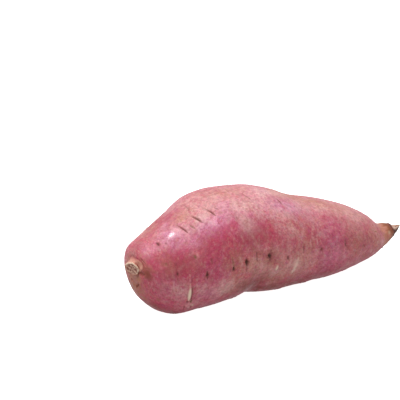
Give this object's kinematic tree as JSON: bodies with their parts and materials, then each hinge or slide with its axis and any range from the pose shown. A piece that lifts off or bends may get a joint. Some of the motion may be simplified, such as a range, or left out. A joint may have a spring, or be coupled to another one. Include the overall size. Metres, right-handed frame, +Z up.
{
  "type": "sweet potato",
  "caption": "Red-skinned sweet potato lying on its belly: a plump, slightly waisted storage root with a cut stem stub, slits and eyes in its skin, and a thin broken tail.",
  "frame": {"origin": "on the resting plane, under the middle of the root's bounding box", "axes": "+Z up, +X along the root from the cut stem end to the thin tail, -Y to the side with the long furrow of eyes"},
  "size_m": [0.1866, 0.0694, 0.0649],
  "materials": {
    "skin": "satin, fine-grained root skin"
  },
  "bodies": {
    "root": {"sweet_potato": "skin"}
  },
  "joints": []
}
